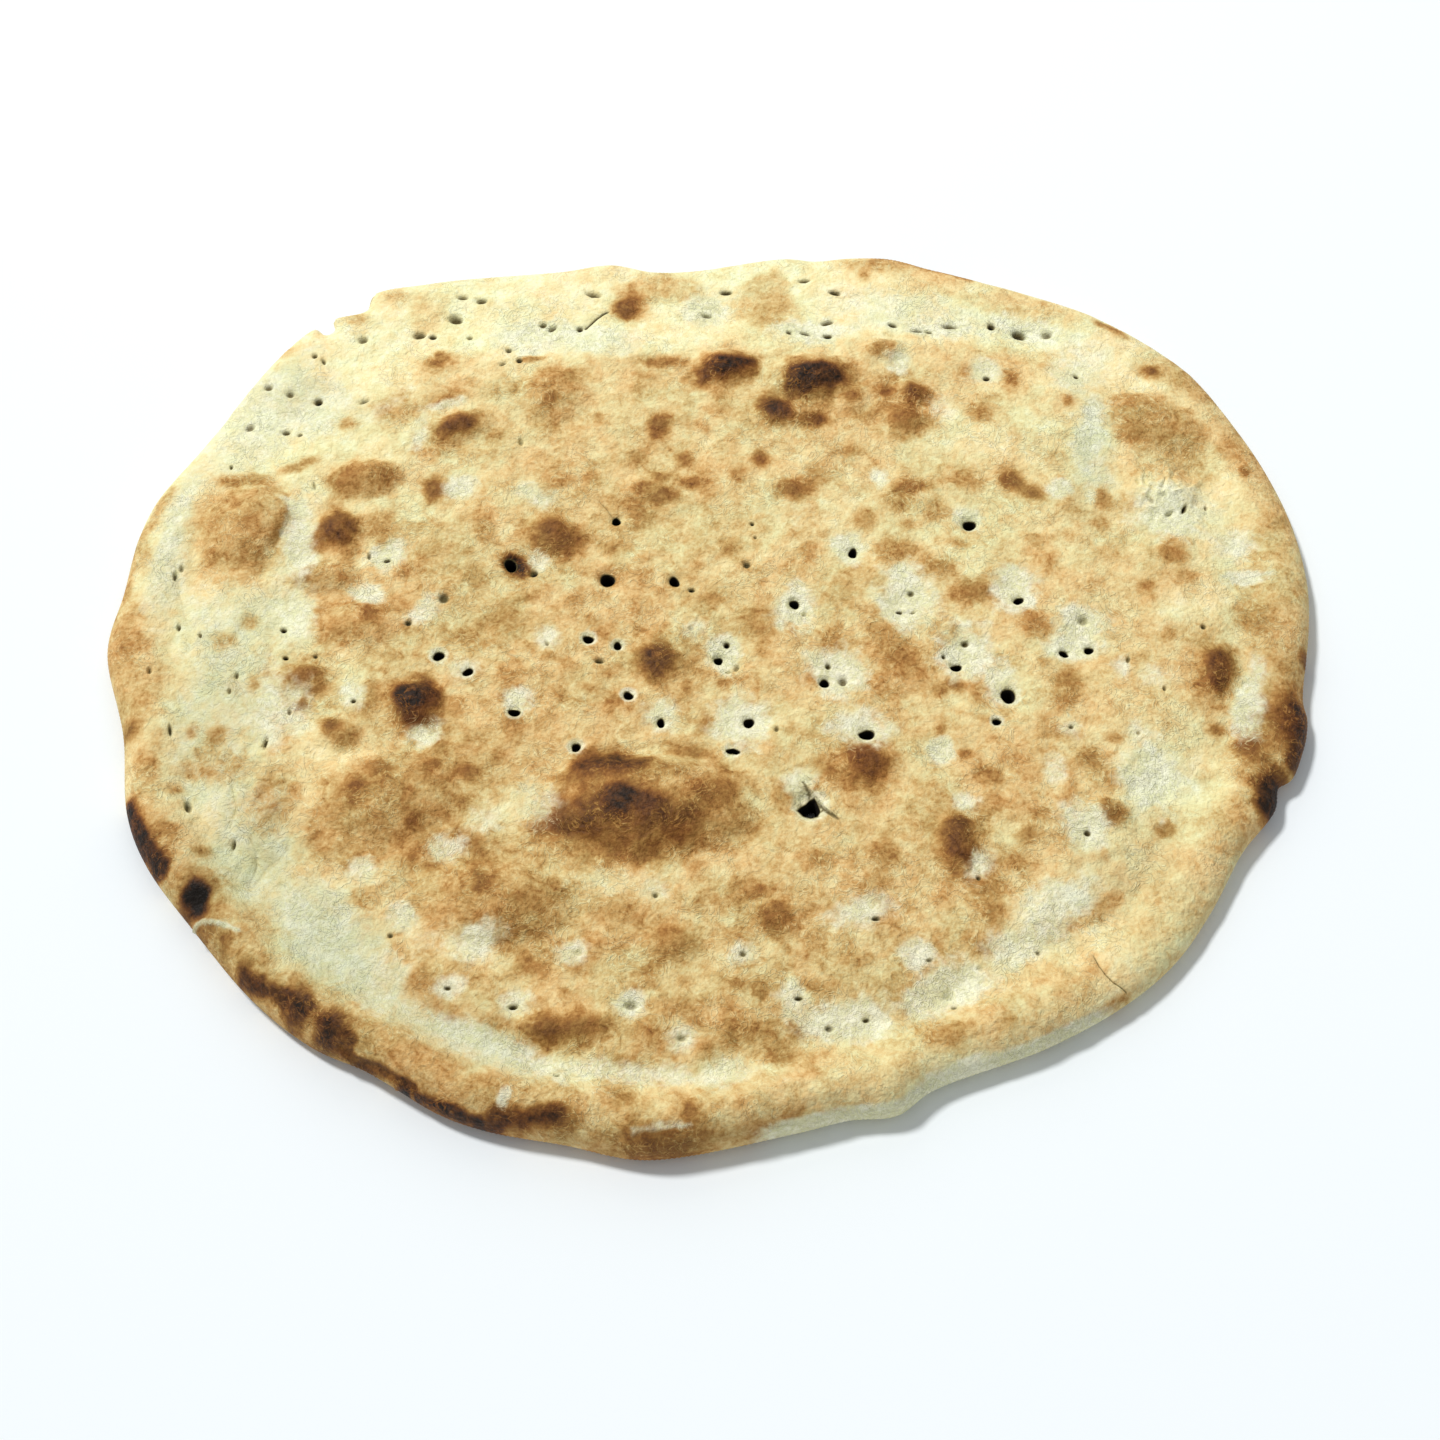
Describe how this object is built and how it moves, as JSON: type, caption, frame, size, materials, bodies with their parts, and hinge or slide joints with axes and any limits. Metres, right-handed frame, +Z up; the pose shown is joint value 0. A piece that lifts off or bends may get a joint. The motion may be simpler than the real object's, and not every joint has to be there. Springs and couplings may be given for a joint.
{
  "type": "flatbread",
  "caption": "Large oval baked flatbread with a raised browned near rim, a thinner pale far edge, blisters and docking holes.",
  "frame": {"origin": "middle of the bounding box at the underside, where the loaf rests", "axes": "+Z up out of the crust, +X along the loaf's longest way, -Y towards the thick browned rim"},
  "size_m": [0.41, 0.353, 0.0219],
  "materials": {
    "crust": "matte baked crust, pale cream to golden, browned on blisters and rim"
  },
  "bodies": {
    "root": {"bread": "crust"}
  },
  "joints": []
}
